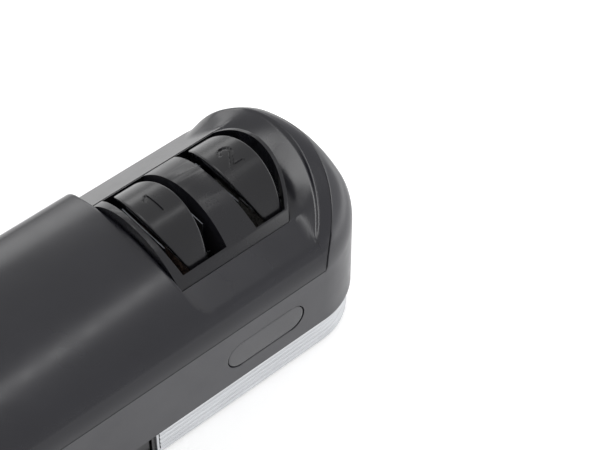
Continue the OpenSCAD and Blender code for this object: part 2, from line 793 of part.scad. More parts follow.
// Bearing pedestal round the bush that starts at x
module pedestal(x) {
  x0 = x - 0.5;
  x1 = x + bush_w + 0.1;
  foot_t = 3;
  z0 = floor_top + 3 + fit_gap;
  difference() {
    union() {
      box(x0, x1, -pedestal_w / 2, pedestal_w / 2, z0, axis_z);
      bar_x(x0, x1, pedestal_w / 2);
      box(x0, x1, -pedestal_foot / 2, pedestal_foot / 2, z0, z0 + foot_t);
    }
    bar_x(x, x1 + 1, bush_r + fit_gap);
    bar_x(x0 - 1, x1 + 1, shaft_r + 1.5);
    for (t = [-1, 1]) bar_z(x + bush_w / 2, t * pedestal_screw_y, z0 - 1, z0 + foot_t + 1, screw_r + screw_gap);
  }
}

module left_pedestal() color([0.5, 0.52, 0.55]) pedestal(left_bush_x);

module right_pedestal() color([0.5, 0.52, 0.55]) pedestal(right_bush_x);

// Screws that point down, by turning an upward one over
module screw_down(x, y, z1, len, r = screw_r, head_r = 2.7, head_t = 1.8) {
  translate([x, y, z1]) rotate([180, 0, 0]) screw_up(0, 0, 0, len, r, head_r, head_t);
}

module pedestal_screws() color([0.7, 0.7, 0.72]) {
  for (x = pedestal_xs, t = [-1, 1])
    screw_down(x, t * pedestal_screw_y, floor_top + 6 + 2 * fit_gap + 1.8, 7.5);
}

module shaft_coupling() color([0.16, 0.16, 0.17]) {
  mid = (motor_x1 + shaft_x0) / 2;
  difference() {
    bar_x(coupling_x0, coupling_x1, coupling_r);
    bar_x(coupling_x0 - 1, mid, motor_shaft_r + fit_gap);
    bar_x(mid - small, coupling_x1 + 1, shaft_r + fit_gap);
    for (x = [coupling_x0 + 4, coupling_x1 - 4]) bar_z(x, 0, axis_z, axis_z + coupling_r + 1, 1.5 + fit_gap);
  }
}

module coupling_screws() color([0.3, 0.3, 0.32]) {
  bar_z(coupling_x0 + 4, 0, axis_z + motor_shaft_r + fit_gap, axis_z + coupling_r - 0.2, 1.5);
  bar_z(coupling_x1 - 4, 0, axis_z + shaft_r + fit_gap, axis_z + coupling_r - 0.2, 1.5);
}

// Motor

module motor_shaft() color([0.72, 0.73, 0.75]) bar_x(motor_x0, motor_x1, motor_shaft_r);

module armature_core() color([0.45, 0.45, 0.47]) {
  slots = 12;
  difference() {
    bar_x(stator_x, stator_x1, armature_r);
    bar_x(stator_x - 1, stator_x1 + 1, motor_shaft_r + fit_gap);
    for (i = [0 : slots - 1]) translate([stator_x - 1, 0, axis_z]) rotate([i * 360 / slots, 0, 0])
      translate([0, -0.8, armature_r - 2]) cube([stator_len + 2, 1.6, 3]);
  }
}

module armature_windings() color([0.72, 0.4, 0.2]) {
  for (x = [stator_x - 6, stator_x1 + fit_gap]) tube_x(x, x + 6 - fit_gap, armature_r - 2.4, motor_shaft_r + 1);
}

module commutator() color([0.75, 0.5, 0.3]) {
  bars = 24;
  difference() {
    bar_x(commutator_x, commutator_x + commutator_w, commutator_r);
    bar_x(commutator_x - 1, commutator_x + commutator_w + 1, motor_shaft_r + fit_gap);
    for (i = [0 : bars - 1]) translate([commutator_x - 1, 0, axis_z]) rotate([i * 360 / bars, 0, 0])
      translate([0, -0.2, commutator_r - 0.6]) cube([commutator_w + 2, 0.4, 1]);
  }
}

// Saddle-shaped region round one pole: arc of half-angle a, from r0 to r1, from x0 to x1
module saddle(x0, x1, r0, r1, a, side) {
  reach = 60;
  intersection() {
    tube_x(x0, x1, r1, r0);
    translate([x0, 0, axis_z]) rotate([90, 0, 90]) linear_extrude(x1 - x0) scale([side, 1])
      polygon([[0, 0], [reach, -reach * tan(a)], [reach, reach * tan(a)]]);
  }
}

coil_half = 62;
pole_half = 40;

module stator_core() color([0.45, 0.45, 0.47]) {
  edge = 6;
  difference() {
    translate([stator_x, 0, axis_z]) rotate([90, 0, 90]) linear_extrude(stator_len) intersection() {
      square([stator_w, stator_h], center = true);
      rotate(45) square([(stator_w + stator_h - edge) / sqrt(2), (stator_w + stator_h - edge) / sqrt(2)], center = true);
    }
    bar_x(stator_x - 1, stator_x1 + 1, bore_r);
    for (s = [-1, 1]) difference() {
      saddle(stator_x - 1, stator_x1 + 1, bore_r - 1, coil_r0 + coil_t + seat_gap, coil_half + 2, s);
      saddle(stator_x - 2, stator_x1 + 2, bore_r - 2, coil_r0 + coil_t + 5, pole_half - 2, s);
    }
    for (t = [-1, 1], u = [-1, 1]) bar_x(stator_x - 1, stator_x1 + 1, bolt_r + screw_gap, t * bolt_y, axis_z + u * bolt_z);
  }
}

module field_coils() color([0.7, 0.38, 0.18]) {
  for (s = [-1, 1]) difference() {
    saddle(stator_x - coil_over, stator_x1 + coil_over, coil_r0, coil_r0 + coil_t, coil_half, s);
    saddle(stator_x - 0.4, stator_x1 + 0.4, coil_r0 - 1, coil_r0 + coil_t + 1, pole_half, s);
  }
}

module motor_bushes() color([0.72, 0.55, 0.3]) {
  for (x = [rear_x, front_x]) tube_x(x, x + motor_bush_w, motor_bush_r, motor_shaft_r + run_gap);
}

// End bracket: a cross plate at x with a bush hub, and four legs that reach to the stator
module bracket(x, leg_x0, leg_x1) {
  difference() {
    union() {
      bar_x(x - 0.5, x + motor_bush_w, motor_bush_r + 2.5);
      for (t = [-1, 1]) translate([x, 0, axis_z]) rotate([t * atan(bolt_z / bolt_y), 0, 0])
        translate([0, -sqrt(bolt_y ^ 2 + bolt_z ^ 2), -3.5]) cube([bracket_t, 2 * sqrt(bolt_y ^ 2 + bolt_z ^ 2), 7]);
      for (t = [-1, 1], u = [-1, 1]) bar_x(min(x - leg_boss, leg_x0), max(x + bracket_t + leg_boss, leg_x1), 3.5, t * bolt_y, axis_z + u * bolt_z);
    }
    bar_x(x, x + motor_bush_w + 1, motor_bush_r + fit_gap);
    bar_x(x - 2, x + 1, motor_shaft_r + 1);
    for (t = [-1, 1], u = [-1, 1]) bar_x(-body_len, 0, bolt_r + screw_gap, t * bolt_y, axis_z + u * bolt_z);
  }
}

module rear_bracket() color([0.62, 0.64, 0.66]) bracket(rear_x, rear_x, stator_x - fit_gap);

module front_bracket() color([0.62, 0.64, 0.66]) bracket(front_x, stator_x1 + fit_gap, front_x);

module motor_bolts() color([0.7, 0.7, 0.72]) {
  for (t = [-1, 1], u = [-1, 1]) {
    bar_x(rear_x - leg_boss - 2 - fit_gap, front_x + bracket_t + leg_boss + 1, bolt_r, t * bolt_y, axis_z + u * bolt_z);
    bar_x(rear_x - leg_boss - 2 - fit_gap, rear_x - leg_boss - fit_gap, 3, t * bolt_y, axis_z + u * bolt_z);
  }
}

module cooling_fan() color([0.9, 0.9, 0.88]) {
  hub_r = 7;
  pitch = 35;
  difference() {
    union() {
      bar_x(fan_x, fan_x + fan_w, hub_r);
      bar_x(fan_x, fan_x + 1.2, fan_r - 6);
      for (i = [0 : fan_blades - 1]) intersection() {
        translate([fan_x + fan_w / 2, 0, axis_z]) rotate([i * 360 / fan_blades, 0, 0])
          rotate([0, 0, pitch]) translate([-0.6, -fan_w, hub_r - 1]) cube([1.2, 2 * fan_w, fan_r]);
        tube_x(fan_x, fan_x + fan_w, fan_r, hub_r - 0.5);
      }
    }
    bar_x(fan_x - 1, fan_x + fan_w + 1, motor_shaft_r + fit_gap);
  }
}

brush_x = commutator_x + commutator_w / 2;

module brush_box(t, y0, y1, w) {
  translate([brush_x - w / 2, min(t * y0, t * y1), axis_z - w / 2]) cube([w, y1 - y0, w]);
}

module brush_holders() color([0.78, 0.62, 0.32]) {
  y0 = brush_y0 + 2;
  for (t = [-1, 1]) difference() {
    brush_box(t, y0, y0 + holder_len, brush_w + 2 * holder_wall);
    brush_box(t, y0 - 1, y0 + holder_len - holder_wall, brush_w + 2 * fit_gap);
  }
}

module carbon_brushes() color([0.15, 0.15, 0.16]) {
  for (t = [-1, 1]) brush_box(t, brush_y0, brush_y0 + brush_len, brush_w);
}

module brush_springs() color([0.7, 0.7, 0.72]) {
  y0 = brush_y0 + brush_len + fit_gap;
  y1 = brush_y0 + 2 + holder_len - holder_wall - fit_gap;
  for (t = [-1, 1]) translate([brush_x, t * y0, axis_z]) rotate([t * -90, 0, 0]) difference() {
    cylinder(h = y1 - y0, r = 1.9);
    translate([0, 0, -1]) cylinder(h = y1 - y0 + 2, r = 1.2);
  }
}

strap_xs = [stator_x + stator_len / 2];
strap_y = stator_w / 2 + 5;
strap_half = 5;
strap_t = 1.2;

module motor_strap() color([0.7, 0.72, 0.74]) {
  x = strap_xs[0];
  top = axis_z + stator_h / 2 + fit_gap;
  side = stator_w / 2 + fit_gap;
  foot_z = floor_top + 4 + fit_gap;
  difference() {
    union() {
      box(x - strap_half, x + strap_half, -side - strap_t, side + strap_t, top, top + strap_t);
      for (t = [-1, 1]) {
        box(x - strap_half, x + strap_half, t > 0 ? side : -side - strap_t, t > 0 ? side + strap_t : -side, foot_z, top + strap_t);
        box(x - strap_half, x + strap_half, t > 0 ? side : -strap_y - 4, t > 0 ? strap_y + 4 : -side, foot_z, foot_z + strap_t);
      }
    }
    for (t = [-1, 1]) bar_z(x, t * strap_y, foot_z - 1, foot_z + strap_t + 1, screw_r + screw_gap);
  }
}

module strap_screws() color([0.7, 0.7, 0.72]) {
  for (t = [-1, 1]) screw_down(strap_xs[0], t * strap_y, floor_top + 4 + 2 * fit_gap + strap_t + 1.8, 6);
}

// Switch

switch_y = -half_depth + band_inset;
switch_z0 = band_lift + 1.2;
switch_mid_z = (switch_top + switch_z0) / 2;
rocker_half = switch_w / 2 - 1.9;
rocker_h = switch_top - switch_z0 - 2.6;
frame_t = band_t + 0.8;

// Notch in the band and the rim, half wide, up to z
module switch_cut(half, z) {
  box(-half, half, -half_depth - 1, switch_y + frame_t + seat_gap, band_lift + small, z);
  box(-half, half, -half_depth - 1, switch_y + frame_t + switch_depth + 1, switch_z0, z);
}

module switch_frame() color([0.8, 0.81, 0.83]) {
  difference() {
    box(-switch_w / 2 - 1.2, switch_w / 2 + 1.2, switch_y, switch_y + frame_t, switch_z0 - 0.9, switch_top + 0.3);
    box(-switch_w / 2, switch_w / 2, switch_y - 1, switch_y + 5, switch_z0, switch_top - 0.7);
  }
}

module switch_body() color([0.1, 0.1, 0.11]) {
  y0 = switch_y + 1.2;
  out = switch_w / 2 - 0.1;
  difference() {
    union() {
      box(-out, out, y0, y0 + 0.7, switch_z0 + 0.1, switch_top - 0.8);
      box(-out + 0.7, out - 0.7, y0 + 0.5, y0 + switch_depth, switch_z0 + 0.2, switch_top - 0.9);
    }
    box(-rocker_half - 0.3, rocker_half + 0.3, y0 - 1, y0 + switch_depth - 1.5, switch_mid_z - rocker_h / 2 - 0.3, switch_mid_z + rocker_h / 2 + 0.3);
    bar_z(0, rocker_y, switch_z0 - 1, switch_top + 1, 1 + run_gap);
  }
}

rocker_y = switch_y + 5.5;

// Two faces meet at the pivot's middle; the whole piece is tilted to the off side
module switch_rocker() color([0.07, 0.07, 0.08]) {
  face = -3.4;
  wing = -4.6;
  pin_h = switch_top - switch_z0 - 1.4;
  translate([0, rocker_y, switch_mid_z]) rotate([0, 0, rocker_tilt]) {
    translate([0, 0, -rocker_h / 2]) linear_extrude(rocker_h)
      polygon([[-rocker_half + 0.8, wing], [0, face], [rocker_half - 0.8, wing], [rocker_half - 1.2, -0.6],
        [2.2, 2.2], [-2.2, 2.2], [-rocker_half + 1.2, -0.6]]);
    translate([0, 0, -pin_h / 2]) cylinder(h = pin_h, r = 1);
  }
}

module switch_terminals() color([0.8, 0.65, 0.35]) {
  y0 = switch_y + 1.2 + switch_depth + fit_gap;
  for (x = [-6, 0, 6]) box(x - 0.4, x + 0.4, y0, y0 + 7, switch_mid_z - 2.4, switch_mid_z + 2.4);
}

// Cord inlet and what holds the cord inside

clamp_x = cord_x;
clamp_y = half_depth - 12;
clamp_half = 7;
clamp_z = cord_z - cord_r - 0.2;

module cord_bushing() color([0.08, 0.08, 0.08]) {
  y1 = half_depth - 0.4;
  difference() {
    union() {
      translate([cord_x, y1, cord_z]) rotate([90, 0, 0]) cylinder(h = wall + 4, r = cord_r + 2.1);
      translate([cord_x, half_depth - wall - 1.2, cord_z]) rotate([90, 0, 0]) cylinder(h = 2, r = cord_r + 4);
    }
    translate([cord_x, y1 + 1, cord_z]) rotate([90, 0, 0]) cylinder(h = wall + 8, r = cord_r);
  }
}

module cord_clamp() color([0.18, 0.18, 0.19]) {
  z0 = clamp_z + fit_gap;
  z1 = cord_z + cord_r + 2;
  difference() {
    box(clamp_x - clamp_half - 3, clamp_x + clamp_half + 3, clamp_y - 3, clamp_y + 3, z0, z1);
    translate([cord_x, clamp_y + 5, cord_z]) rotate([90, 0, 0]) cylinder(h = 10, r = cord_r - 0.2);
    box(cord_x - cord_r + 0.2, cord_x + cord_r - 0.2, clamp_y - 5, clamp_y + 5, z0 - 1, cord_z);
    for (t = [-1, 1]) bar_z(clamp_x + t * clamp_half, clamp_y, z0 - 1, z1 + 1, small_screw_r + screw_gap);
  }
}

module clamp_screws() color([0.7, 0.7, 0.72]) {
  z1 = cord_z + cord_r + 2 + fit_gap + 1.4;
  for (t = [-1, 1]) screw_down(clamp_x + t * clamp_half, clamp_y, z1, 16, r = small_screw_r, head_r = 2.2, head_t = 1.4);
}

module terminal_block() color([0.88, 0.87, 0.82]) {
  ways = 3;
  way_w = 8;
  x0 = front_x - 6;
  y0 = half_depth - 15;
  z0 = floor_top + fit_gap;
  difference() {
    for (i = [0 : ways - 1]) box(x0 + i * way_w, x0 + (i + 1) * way_w + small, y0, y0 + 9, z0, z0 + 10);
    for (i = [0 : ways - 1]) {
      translate([x0 + (i + 0.5) * way_w, y0 - 1, z0 + 4]) rotate([-90, 0, 0]) cylinder(h = 12, r = 1.6);
      bar_z(x0 + (i + 0.5) * way_w, y0 + 4.5, z0 + 6, z0 + 12, 1.8);
    }
  }
}

top_cover();
lower_housing();
base_plate();
trim_band();
badge_plate();
rubber_feet();
housing_screws();
guide_insert();
guide_1();
guide_2();
blade_spring_1();
blade_spring_2();
blade_spring_3();
blade_spring_4();
guide_screws();
insert_screws();
wheel_shaft();
coarse_wheel();
fine_wheel();
wheel_flanges();
wheel_spacer();
wheel_nut();
wheel_bushes();
left_pedestal();
right_pedestal();
pedestal_screws();
shaft_coupling();
coupling_screws();
motor_shaft();
armature_core();
armature_windings();
commutator();
stator_core();
field_coils();
motor_bushes();
front_bracket();
rear_bracket();
motor_bolts();
cooling_fan();
brush_holders();
carbon_brushes();
brush_springs();
motor_strap();
strap_screws();
switch_frame();
switch_body();
switch_rocker();
switch_terminals();
cord_bushing();
cord_clamp();
clamp_screws();
terminal_block();
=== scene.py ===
import bmesh
import bpy
import math
import numpy as np
from mathutils import Matrix, Vector


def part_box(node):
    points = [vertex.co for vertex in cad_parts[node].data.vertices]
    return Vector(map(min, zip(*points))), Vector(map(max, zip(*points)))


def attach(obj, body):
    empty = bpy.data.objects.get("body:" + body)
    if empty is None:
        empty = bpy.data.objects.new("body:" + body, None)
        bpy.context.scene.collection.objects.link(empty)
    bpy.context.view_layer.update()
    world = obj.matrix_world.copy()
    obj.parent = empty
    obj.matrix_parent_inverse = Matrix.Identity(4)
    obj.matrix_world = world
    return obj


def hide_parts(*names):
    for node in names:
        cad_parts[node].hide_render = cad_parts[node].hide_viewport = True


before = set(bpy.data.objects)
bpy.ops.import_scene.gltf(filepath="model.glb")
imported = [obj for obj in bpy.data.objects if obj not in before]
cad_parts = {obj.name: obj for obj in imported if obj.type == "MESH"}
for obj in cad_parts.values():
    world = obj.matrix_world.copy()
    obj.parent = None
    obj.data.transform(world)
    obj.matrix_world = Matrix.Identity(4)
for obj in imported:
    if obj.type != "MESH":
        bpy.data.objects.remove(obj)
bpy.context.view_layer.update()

scene = bpy.context.scene
MM = 0.001


def extent(name, axis):
    """Lowest and highest coordinate of a CAD node along an axis, in millimetres."""
    low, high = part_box(name)
    return low[axis] / MM, high[axis] / MM


# ---------------------------------------------------------------- camera

CAMERA_PLACE = (-0.2189, -0.3931, 0.6159)
RIGHT = Vector((0.7553, -0.6554, 0.0))
FORWARD = Vector((0.4282, 0.4935, -0.7570))
UP = RIGHT.cross(FORWARD)
LENS = 115.2
camera_data = bpy.data.cameras.new("camera")
camera_data.lens = LENS
camera_data.sensor_width = 36
camera_data.clip_start = 0.05
camera_data.clip_end = 10
camera = bpy.data.objects.new("camera", camera_data)
turned = Matrix((RIGHT, UP, -FORWARD)).transposed().to_4x4()
camera.matrix_world = Matrix.Translation(CAMERA_PLACE) @ turned
scene.collection.objects.link(camera)
scene.camera = camera
scene.view_settings.view_transform = "Standard"

# ---------------------------------------------------------------- materials


class Nodes:
    """A material's node tree, with short ways to add and join nodes."""

    def __init__(self, name):
        self.material = bpy.data.materials.new(name)
        self.material.use_nodes = True
        self.tree = self.material.node_tree
        self.shader = self.tree.nodes["Principled BSDF"]

    def add(self, kind, **values):
        node = self.tree.nodes.new(kind)
        for key, value in values.items():
            if key in node.inputs:
                node.inputs[key].default_value = value
            else:
                setattr(node, key, value)
        return node

    def join(self, a, b):
        self.tree.links.new(a, b)

    def coords(self):
        return self.add("ShaderNodeTexCoord").outputs["Object"]

    def noise(self, scale, detail, stretch=None):
        node = self.add("ShaderNodeTexNoise", Scale=scale, Detail=detail)
        vector = self.coords()
        if stretch:
            mapping = self.add("ShaderNodeMapping", Scale=stretch)
            self.join(vector, mapping.inputs["Vector"])
            vector = mapping.outputs["Vector"]
        self.join(vector, node.inputs["Vector"])
        return node.outputs["Fac"]

    def roughness(self, fac, low, high):
        """Roughness from low to high over the middle of a noise's range."""
        node = self.add("ShaderNodeMapRange")
        node.inputs["From Min"].default_value = 0.3
        node.inputs["From Max"].default_value = 0.7
        node.inputs["To Min"].default_value = low
        node.inputs["To Max"].default_value = high
        self.join(fac, node.inputs["Value"])
        self.join(node.outputs["Result"], self.shader.inputs["Roughness"])

    def colour(self, fac, stops):
        """Base colour from a ramp of (place, linear colour) stops."""
        node = self.add("ShaderNodeValToRGB")
        ramp = node.color_ramp
        while len(ramp.elements) < len(stops):
            ramp.elements.new(0.5)
        for element, (at, colour) in zip(ramp.elements, stops):
            element.position = at
            element.color = (*colour, 1)
        self.join(fac, node.inputs["Fac"])
        self.join(node.outputs["Color"], self.shader.inputs["Base Color"])

    def bump(self, height, strength, distance):
        node = self.add("ShaderNodeBump", Strength=strength, Distance=distance)
        self.join(height, node.inputs["Height"])
        self.join(node.outputs["Normal"], self.shader.inputs["Normal"])


def grey(value):
    """Linear value of an sRGB grey from 0 to 255."""
    c = value / 255
    return c / 12.92 if c <= 0.04045 else ((c + 0.055) / 1.055) ** 2.4


def rgb(r, g, b):
    return grey(r), grey(g), grey(b)


def moulded(name, dark, light, rough, grain=0.10, scale=1500, ior=1.5):
    """Moulded plastic: fine spark-eroded grain, a faint mottle, uneven gloss."""
    n = Nodes(name)
    n.shader.inputs["IOR"].default_value = ior
    mottle = n.noise(28, 3)
    n.colour(mottle, [(0.3, dark), (0.7, light)])
    n.roughness(n.noise(90, 5), rough * 0.88, rough * 1.14)
    n.bump(n.noise(scale, 2), grain, distance=0.04 * MM)
    return n.material


def metal(name, dark, light, rough, brushed=(1, 1, 1), scale=300, grain=0.12):
    """Metal with fine drawn lines, close together along the axes where brushed is large."""
    n = Nodes(name)
    n.shader.inputs["Metallic"].default_value = 1.0
    lines = n.noise(scale, 4, brushed)
    n.colour(lines, [(0.3, dark), (0.7, light)])
    n.roughness(lines, rough * 0.8, rough * 1.25)
    n.bump(lines, grain, distance=0.03 * MM)
    return n.material


def abrasive(name, dark, mid, light, scale):
    """Bonded grit: bright and dark grains in a matt bond."""
    n = Nodes(name)
    cells = n.add("ShaderNodeTexVoronoi", Scale=scale)
    n.join(n.coords(), cells.inputs["Vector"])
    tone = n.add("ShaderNodeSeparateColor")
    n.join(cells.outputs["Color"], tone.inputs["Color"])
    n.colour(tone.outputs["Red"], [(0.15, dark), (0.5, mid), (0.85, light)])
    n.shader.inputs["Roughness"].default_value = 0.85
    n.bump(cells.outputs["Distance"], 0.7, distance=0.2 * MM)
    return n.material


def lacquered_wire(name, dark, light, pitch):
    """Wound copper wire: rounded turns side by side under lacquer."""
    n = Nodes(name)
    n.shader.inputs["Metallic"].default_value = 0.85
    wave = n.add("ShaderNodeTexWave", Scale=pitch, Distortion=0.6, Detail=1.0)
    wave.bands_direction = "DIAGONAL"
    n.join(n.coords(), wave.inputs["Vector"])
    n.colour(wave.outputs["Fac"], [(0.1, dark), (0.8, light)])
    n.shader.inputs["Roughness"].default_value = 0.32
    n.bump(wave.outputs["Fac"], 0.6, distance=0.2 * MM)
    return n.material


def laminated(name, dark, light):
    """Stack of thin sheets across X."""
    n = Nodes(name)
    n.shader.inputs["Metallic"].default_value = 0.9
    wave = n.add("ShaderNodeTexWave", Scale=320, Distortion=0.2)
    wave.bands_direction = "X"
    n.join(n.coords(), wave.inputs["Vector"])
    n.colour(wave.outputs["Fac"], [(0.2, dark), (0.7, light)])
    n.shader.inputs["Roughness"].default_value = 0.45
    n.bump(wave.outputs["Fac"], 0.5, distance=0.1 * MM)
    return n.material


MATERIALS = {
    "dome_plastic": moulded("dome_plastic", rgb(23, 23, 29), rgb(28, 28, 34), 0.21, ior=1.44),
    # The housing is the same black plastic as the dome, given a lighter colour: painted light for the lit
    # front wall, which the fill lamp also lights
    "housing_plastic": moulded("housing_plastic", rgb(48, 48, 52), rgb(54, 54, 58), 0.34),
    "guide_plastic": moulded("guide_plastic", rgb(18, 18, 21), rgb(24, 24, 27), 0.25, ior=1.41),
    "insert_plastic": moulded("insert_plastic", rgb(19, 19, 23), rgb(24, 24, 28), 0.28, ior=1.42),
    "inner_plastic": moulded("inner_plastic", rgb(38, 38, 40), rgb(48, 48, 50), 0.5),
    "badge_plastic": moulded("badge_plastic", rgb(58, 58, 61), rgb(65, 65, 68), 0.3),
    "band_silver": metal("band_silver", rgb(192, 194, 197), rgb(208, 210, 213), 0.34, (1, 1, 14), 60, 0.05),
    "rubber_black": moulded("rubber_black", rgb(20, 20, 20), rgb(30, 30, 30), 0.8, 0.4, 900),
    "steel": metal("steel", rgb(176, 178, 182), rgb(206, 208, 212), 0.24, (2, 30, 30), 120),
    "spring_steel": metal("spring_steel", rgb(96, 98, 102), rgb(128, 131, 136), 0.38, (30, 2, 30), 120, 0.04),
    "bronze": metal("bronze", rgb(150, 112, 62), rgb(176, 134, 78), 0.36),
    "brass": metal("brass", rgb(190, 158, 92), rgb(212, 180, 112), 0.3),
    "copper": lacquered_wire("copper", rgb(96, 44, 22), rgb(206, 118, 66), 260),
    "laminations": laminated("laminations", rgb(84, 86, 90), rgb(150, 152, 156)),
    "die_cast": metal("die_cast", rgb(132, 136, 140), rgb(158, 162, 166), 0.48, (1, 1, 1), 500, 0.35),
    # Grit colours darkened towards black: part the grit's own tone, part painted shade for the deep slots the
    # wheels sit in
    "coarse_abrasive": abrasive("coarse_abrasive", rgb(40, 30, 26), rgb(66, 48, 40), rgb(104, 84, 72), 1900),
    "fine_abrasive": abrasive("fine_abrasive", rgb(58, 56, 54), rgb(84, 82, 79), rgb(116, 114, 110), 3200),
    "carbon": moulded("carbon", rgb(34, 34, 36), rgb(52, 52, 55), 0.55, 0.3, 2500),
    "white_plastic": moulded("white_plastic", rgb(214, 212, 204), rgb(224, 222, 214), 0.42),
    "switch_black": moulded("switch_black", rgb(20, 20, 22), rgb(26, 26, 28), 0.28),
}

# ---------------------------------------------------------------- body shape, in millimetres

# R is a radius, and X, Y and Z with it are its centre. Most values repeat part.scad's. The scene's own are the
# roundover, blends and leans, the seam's and badge's gaps, the lip's depth and the first values of WALL_SHARE.
HALF_DEPTH = 46.0
DOME_R, DOME_Z = 97.0, -28.5
EDGE = 9.2                     # blend between the dome and the walls
CORNER_X, CORNER_Y, CORNER_R = 95.573, 16.0, 30.0
END_X, END_R = 7.0, 120.0
SEAM_Z, SEAM_GAP = 46.5, 0.6
SEAM_TIP, SEAM_Y = 124.0, 8.0  # furthest point of the seam that crosses the end
SEAM_FRONT_R, SEAM_BACK_R = 66.0, 45.0
WALL_START = 16.3              # lower edge of the housing, just above the band
BAND_LOW, BAND_HIGH = 1.0, 16.0
CORE_Z = 30.0                  # height of the line inside the body that rays start from
RECESS_X, RECESS_FRONT, RECESS_CORNER_R = 39.5, -41.6, 8  # its left and front sides and their corner
RECESS_FLOOR, RECESS_HALF = 61.8, 27.7      # height of the level floor, and its half depth
FRONT_SLOPE, BACK_SLOPE = 0.263, 0.786      # the floor's fall in front of and behind that
RIM_X, RIM_Y, RIM_R, RIM_STEP = 45.5, 13.5, 73.9, 0.8  # arc of the rim, and the step down at it
WALL_SLOPE = 0.44              # the wall's fall inside the rim, times the share at each y
WALL_Y = (-40, -37, -33, -30, -27, -22, -16, 6, 14, 20, 28, 35, 43, 46)
WALL_SHARE = (0.9, 0.8, 0.7, 0.62, 0.6, 0.8, 1, 1, 0.8, 0.6, 0.35, 0.6, 1.1, 1.2)
WALL_SMOOTHING = (-3, -1.5, 0, 1.5, 3)  # the share is the mean of those this far away in y
FLOOR_LEAN, WALL_LEAN = 0.95, 0.92  # turn a height above a slope into a distance
FOLD_BLEND, RIM_BLEND = 0.6, 0.7    # between floor and wall, and at the recess's outer edges
SHOULDER_R, SHOULDER_Y = 15.0, 31.0
SHOULDER_Z = DOME_Z + math.sqrt((DOME_R - SHOULDER_R) ** 2 - SHOULDER_Y ** 2)
INSERT_X, INSERT_Y, INSERT_R, INSERT_HALF = 54.0, 6.0, 51.5, 28.0
SWITCH_HALF = 13.15            # half width of the gap in the band
BADGE_X, BADGE_Z, BADGE_R = 65.3, 30.8, 6.4
BADGE_RUN = 37.5 / 2 - BADGE_R  # half length of its straight edges
BADGE_GAP = 0.42               # between the badge's seat and the badge
INLET_X, INLET_Z, INLET_R = -92.0, 28.0, 5.6
LIP_DEPTH = 2.2                # how far the shells' open edges turn inward
FAR = 99.0                     # a distance that nothing reaches


def smooth_max(a, b, k):
    """Larger of two values, blended where they differ by less than k. The blend lies above both."""
    h = np.clip(0.5 + 0.5 * (a - b) / k, 0, 1)
    return b + (a - b) * h + k * h * (1 - h)


def smooth_min(a, b, k):
    """Smaller of two values, blended in the same way, below both."""
    return -smooth_max(-a, -b, k)


def plan_distance(x, y):
    """Distance outside the body's outline in plan."""
    x, y = np.abs(x), np.abs(y)
    in_end = y * (CORNER_X - END_X) < CORNER_Y * (x - END_X)
    end = np.hypot(x - END_X, y) - END_R
    corner = np.hypot(x - CORNER_X, np.maximum(y - CORNER_Y, 0)) - CORNER_R
    return np.where(in_end, end, np.where(x > CORNER_X, corner, y - HALF_DEPTH))


def body(x, y, z):
    """Distance outside the body without its recess, below zero inside it."""
    dome = np.hypot(y, z - DOME_Z) - DOME_R
    return smooth_max(dome, plan_distance(x, y), EDGE)


def top_z(y):
    """Height of the body's top across the middle of its length."""
    y = np.minimum(np.abs(y), HALF_DEPTH)
    shoulder = SHOULDER_Z + np.sqrt(np.maximum(SHOULDER_R ** 2 - (y - SHOULDER_Y) ** 2, 0))
    dome = DOME_Z + np.sqrt(DOME_R ** 2 - y ** 2)
    return np.where(y > SHOULDER_Y * DOME_R / (DOME_R - SHOULDER_R), shoulder, dome)


def recess(x, y, z):
    """Depth inside the recess round the guides."""
    floor = (RECESS_FLOOR - FRONT_SLOPE * np.maximum(-y - RECESS_HALF, 0)
             - BACK_SLOPE * np.maximum(y - RECESS_HALF, 0))
    inside = RIM_R - np.hypot(x - RIM_X, y - RIM_Y)
    share = np.mean([np.interp(y + d, WALL_Y, WALL_SHARE) for d in WALL_SMOOTHING], axis=0)
    step = RIM_STEP * smooth_min(np.maximum(inside / RIM_STEP, -3), 1, 0.9)
    wall = top_z(y) - step - WALL_SLOPE * share * inside
    above = smooth_min((z - floor) * FLOOR_LEAN, (z - wall) * WALL_LEAN, FOLD_BLEND)
    r = RECESS_CORNER_R
    dx, dy = x - RECESS_X, y - RECESS_FRONT
    rounded = r - np.hypot(np.minimum(dx, r) - r, np.minimum(dy, r) - r)
    corner = np.where((dx < r) & (dy < r), rounded, np.minimum(dx, dy))
    return smooth_min(above, corner, RIM_BLEND)


def cover(x, y, z):
    """Distance outside the body with its recess."""
    return smooth_max(body(x, y, z), recess(x, y, z), RIM_BLEND)


def along(shape, x0, y0, z0, dx, dy, dz, low, high, steps=34):
    """Point where the ray leaves the shape, found by halving."""
    low = np.full(np.broadcast(x0, dx).shape, float(low))
    high = np.full(low.shape, float(high))
    for _ in range(steps):
        mid = (low + high) / 2
        inside = shape(x0 + dx * mid, y0 + dy * mid, z0 + dz * mid) < 0
        low, high = np.where(inside, mid, low), np.where(inside, high, mid)
    return np.stack([x0 + dx * low, y0 + dy * low, z0 + dz * low], -1)


def height(shape, x, y):
    """Height of the shape's top at points in plan."""
    zero, one = np.zeros_like(x), np.ones_like(x)
    return along(shape, x, y, np.full_like(x, CORE_Z), zero, zero, one, 0, 60)[..., 2]


# ---------------------------------------------------------------- mesh helpers

def grid_faces(rows, cols, closed=False):
    """Quads of a grid of points, joined round from the last column to the first if closed."""
    i, j = np.meshgrid(np.arange(rows - 1), np.arange(cols if closed else cols - 1), indexing="ij")
    k = (j + 1) % cols
    return np.stack([i * cols + j, i * cols + k, (i + 1) * cols + k, (i + 1) * cols + j], -1).reshape(-1, 4)


